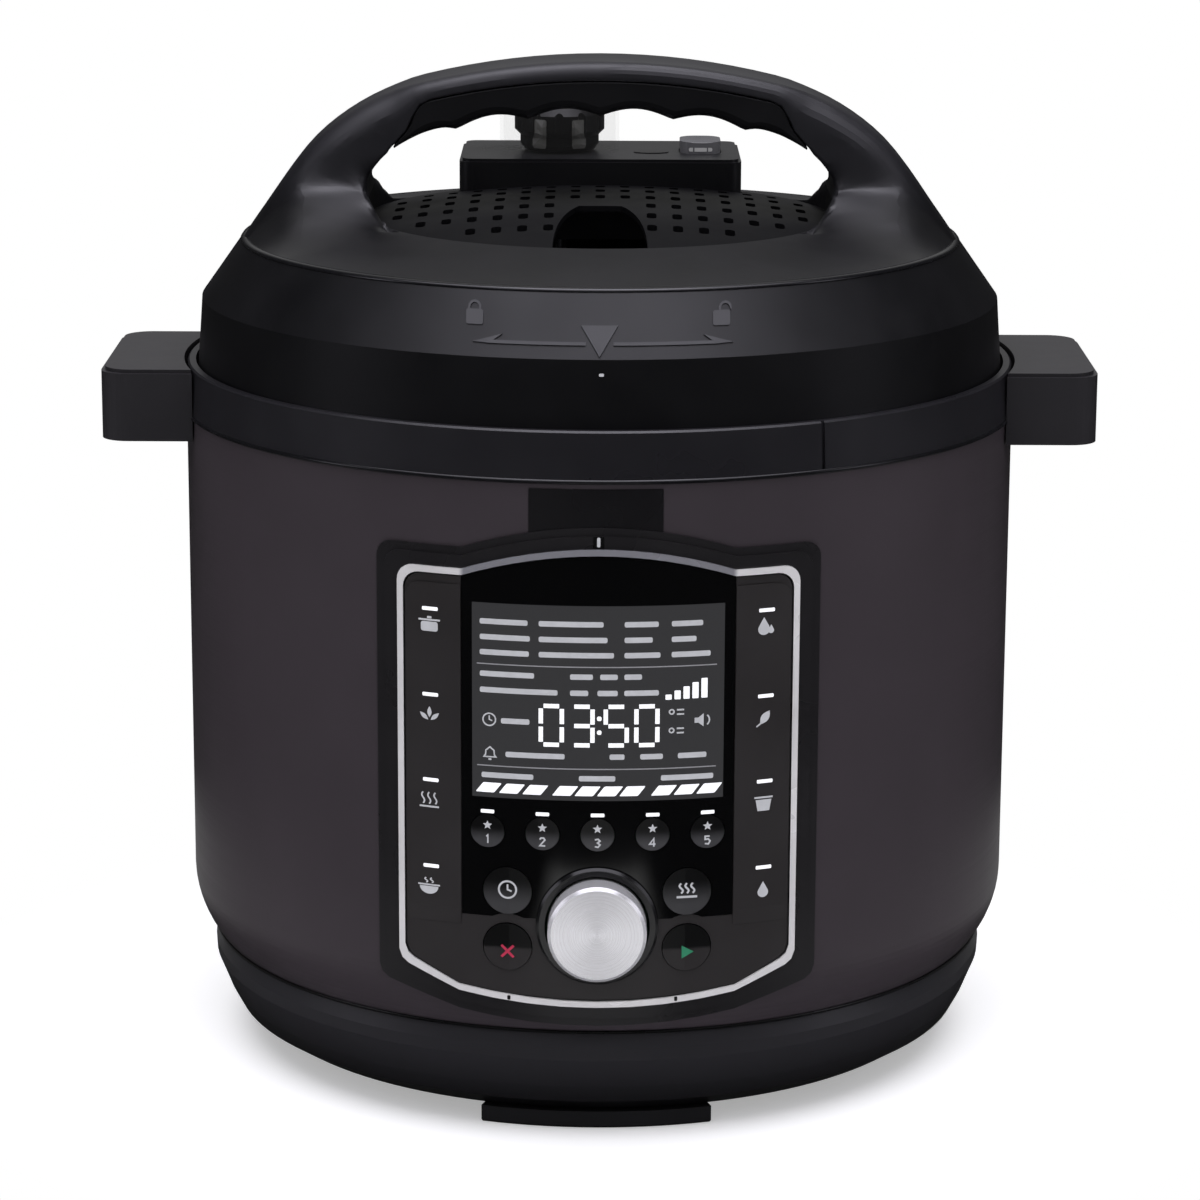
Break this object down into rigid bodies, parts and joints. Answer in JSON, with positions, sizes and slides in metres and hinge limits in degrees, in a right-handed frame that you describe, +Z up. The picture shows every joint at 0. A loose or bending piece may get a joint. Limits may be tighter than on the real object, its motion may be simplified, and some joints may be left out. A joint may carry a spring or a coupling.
{
  "type": "electric pressure cooker",
  "caption": "Free-standing electric pressure cooker with a lift-off bayonet lid, arched carry handle, steam release, inner pot and a front control panel with dial and keys.",
  "frame": {"origin": "on the pot's axis, in the plane of the feet", "axes": "+Z up along the pot's axis, -Y towards the control panel, +X to the right as seen from the front"},
  "size_m": [0.326, 0.3019, 0.3286],
  "materials": {
    "base_plastic": "fine matt",
    "bezel_plastic": "satin",
    "board_green": "satin",
    "button_grey": "satin",
    "collar_plastic": "satin",
    "cover_sheet": "satin",
    "cup_clear": "clear plastic",
    "dial_aluminium": "radially brushed",
    "display_white": "matt",
    "encoder_metal": "satin",
    "face_gloss": "gloss",
    "foot_rubber": "matt",
    "fuse_metal": "satin",
    "grille_plastic": "fine matt",
    "handle_plastic": "fine matt",
    "housing_plastic": "satin",
    "inlet_plastic": "satin",
    "key_green": "satin",
    "key_plastic": "satin",
    "key_red": "satin",
    "lever_brass": "satin",
    "lid_plastic": "fine matt",
    "lid_steel": "polished",
    "liner_steel": "satin",
    "plate_aluminium": "cast",
    "pot_steel": "brushed",
    "ring_plastic": "satin",
    "screw_steel": "bright",
    "seal_silicone": "translucent matt",
    "sensor_aluminium": "satin",
    "shaft_steel": "bright",
    "shell_black_steel": "satin dark",
    "shield_clear": "clear plastic",
    "spring_steel": "bright",
    "surround_plastic": "matt",
    "switch_plastic": "satin",
    "trim_silver": "satin bright",
    "valve_plastic": "satin",
    "window_tint": "gloss"
  },
  "bodies": {
    "cooker": {"base_housing": "base_plastic", "bottom_cover": "cover_sheet", "rubber_feet": "foot_rubber", "housing_screws": "screw_steel", "outer_shell": "shell_black_steel", "upper_ring": "ring_plastic", "side_handle_left": "handle_plastic", "side_handle_right": "handle_plastic", "outer_pot": "liner_steel", "inner_pot": "pot_steel", "heating_plate": "plate_aluminium", "sensor_spring": "spring_steel", "thermal_fuse": "fuse_metal", "power_board": "board_green", "power_inlet": "inlet_plastic", "control_board": "board_green", "key_switches": "switch_plastic", "panel_bezel": "bezel_plastic", "panel_trim": "trim_silver", "panel_surround": "surround_plastic", "panel_face": "face_gloss", "display_window": "window_tint", "display_module": "display_white", "dial_collar": "collar_plastic", "dial_encoder": "encoder_metal"},
    "sensor": {"temperature_sensor": "sensor_aluminium"},
    "seal": {"sealing_ring": "seal_silicone"},
    "lid": {"lid_cover": "lid_plastic", "handle_grip": "handle_plastic", "vent_grille": "grille_plastic", "valve_housing": "housing_plastic", "valve_shield": "shield_clear", "button_spring": "spring_steel", "steam_pipe": "lid_steel", "inner_lid": "lid_steel", "ring_rack": "spring_steel"},
    "steam_valve": {"steam_valve": "valve_plastic"},
    "release_button": {"release_button": "button_grey"},
    "release_lever": {"release_lever": "lever_brass"},
    "float_valve": {"float_valve": "shaft_steel"},
    "dial_shaft": {"dial_shaft": "shaft_steel"},
    "dial": {"dial_knob": "dial_aluminium"},
    "collector": {"condensation_collector": "cup_clear"},
    "key_preset_1": {"key_preset_1": "key_plastic"},
    "key_preset_2": {"key_preset_2": "key_plastic"},
    "key_preset_3": {"key_preset_3": "key_plastic"},
    "key_preset_4": {"key_preset_4": "key_plastic"},
    "key_preset_5": {"key_preset_5": "key_plastic"},
    "key_delay": {"key_delay": "key_plastic"},
    "key_warm": {"key_warm": "key_plastic"},
    "key_cancel": {"key_cancel": "key_red"},
    "key_start": {"key_start": "key_green"},
    "key_program_1": {"key_program_1": "key_plastic"},
    "key_program_2": {"key_program_2": "key_plastic"},
    "key_program_3": {"key_program_3": "key_plastic"},
    "key_program_4": {"key_program_4": "key_plastic"},
    "key_program_5": {"key_program_5": "key_plastic"},
    "key_program_6": {"key_program_6": "key_plastic"},
    "key_program_7": {"key_program_7": "key_plastic"},
    "key_program_8": {"key_program_8": "key_plastic"}
  },
  "joints": [
    {"name": "lid_lift", "type": "slide", "parent": "cooker", "child": "seal", "axis": [0, 0, 1], "range_m": [0, 0.2]},
    {"name": "lid_turn", "type": "hinge", "parent": "seal", "child": "lid", "pos_m": [0, 0, 0.24], "axis": [0, 0, 1], "range_deg": [0, 30]},
    {"name": "sensor_press", "type": "slide", "parent": "cooker", "child": "sensor", "axis": [0, 0, -1], "range_m": [0, 0.002], "stiffness_N_per_m": 1500, "deforming": ["sensor_spring"]},
    {"name": "button_press", "type": "slide", "parent": "lid", "child": "release_button", "axis": [0, 0, -1], "range_m": [0, 0.004], "stiffness_N_per_m": 600, "deforming": ["button_spring"]},
    {"name": "lever_tilt", "type": "hinge", "parent": "lid", "child": "release_lever", "pos_m": [0.00203, 0.069, 0.2744], "axis": [0, 1, 0], "range_deg": [0, 7.13]},
    {"name": "valve_rise", "type": "slide", "parent": "lid", "child": "steam_valve", "axis": [0, 0, 1], "range_m": [0, 0.002]},
    {"name": "float_rise", "type": "slide", "parent": "lid", "child": "float_valve", "axis": [0, 0, 1], "range_m": [0, 0.005]},
    {"name": "dial_press", "type": "slide", "parent": "cooker", "child": "dial_shaft", "axis": [0, 1, 0], "range_m": [0, 0.0012], "stiffness_N_per_m": 1500},
    {"name": "dial_turn", "type": "hinge", "parent": "dial_shaft", "child": "dial", "pos_m": [0, -0.14, 0.0746], "axis": [0, 1, 0], "continuous": true},
    {"name": "collector_slide", "type": "slide", "parent": "cooker", "child": "collector", "axis": [0, 1, 0], "range_m": [0, 0.04]},
    {"name": "key_preset_1_press", "type": "slide", "parent": "cooker", "child": "key_preset_1", "axis": [0, 1, 0], "range_m": [0, 0.0005], "stiffness_N_per_m": 2500},
    {"name": "key_preset_2_press", "type": "slide", "parent": "cooker", "child": "key_preset_2", "axis": [0, 1, 0], "range_m": [0, 0.0005], "stiffness_N_per_m": 2500},
    {"name": "key_preset_3_press", "type": "slide", "parent": "cooker", "child": "key_preset_3", "axis": [0, 1, 0], "range_m": [0, 0.0005], "stiffness_N_per_m": 2500},
    {"name": "key_preset_4_press", "type": "slide", "parent": "cooker", "child": "key_preset_4", "axis": [0, 1, 0], "range_m": [0, 0.0005], "stiffness_N_per_m": 2500},
    {"name": "key_preset_5_press", "type": "slide", "parent": "cooker", "child": "key_preset_5", "axis": [0, 1, 0], "range_m": [0, 0.0005], "stiffness_N_per_m": 2500},
    {"name": "key_delay_press", "type": "slide", "parent": "cooker", "child": "key_delay", "axis": [0, 1, 0], "range_m": [0, 0.0005], "stiffness_N_per_m": 2500},
    {"name": "key_warm_press", "type": "slide", "parent": "cooker", "child": "key_warm", "axis": [0, 1, 0], "range_m": [0, 0.0005], "stiffness_N_per_m": 2500},
    {"name": "key_cancel_press", "type": "slide", "parent": "cooker", "child": "key_cancel", "axis": [0, 1, 0], "range_m": [0, 0.0005], "stiffness_N_per_m": 2500},
    {"name": "key_start_press", "type": "slide", "parent": "cooker", "child": "key_start", "axis": [0, 1, 0], "range_m": [0, 0.0005], "stiffness_N_per_m": 2500},
    {"name": "key_program_1_press", "type": "slide", "parent": "cooker", "child": "key_program_1", "axis": [0, 1, 0], "range_m": [0, 0.0005], "stiffness_N_per_m": 2500},
    {"name": "key_program_2_press", "type": "slide", "parent": "cooker", "child": "key_program_2", "axis": [0, 1, 0], "range_m": [0, 0.0005], "stiffness_N_per_m": 2500},
    {"name": "key_program_3_press", "type": "slide", "parent": "cooker", "child": "key_program_3", "axis": [0, 1, 0], "range_m": [0, 0.0005], "stiffness_N_per_m": 2500},
    {"name": "key_program_4_press", "type": "slide", "parent": "cooker", "child": "key_program_4", "axis": [0, 1, 0], "range_m": [0, 0.0005], "stiffness_N_per_m": 2500},
    {"name": "key_program_5_press", "type": "slide", "parent": "cooker", "child": "key_program_5", "axis": [0, 1, 0], "range_m": [0, 0.0005], "stiffness_N_per_m": 2500},
    {"name": "key_program_6_press", "type": "slide", "parent": "cooker", "child": "key_program_6", "axis": [0, 1, 0], "range_m": [0, 0.0005], "stiffness_N_per_m": 2500},
    {"name": "key_program_7_press", "type": "slide", "parent": "cooker", "child": "key_program_7", "axis": [0, 1, 0], "range_m": [0, 0.0005], "stiffness_N_per_m": 2500},
    {"name": "key_program_8_press", "type": "slide", "parent": "cooker", "child": "key_program_8", "axis": [0, 1, 0], "range_m": [0, 0.0005], "stiffness_N_per_m": 2500}
  ],
  "couplings": [
    {"joint": "lever_tilt", "follows": "button_press", "rad_per_m": 30.879},
    {"joint": "valve_rise", "follows": "button_press", "ratio": 0.5}
  ]
}
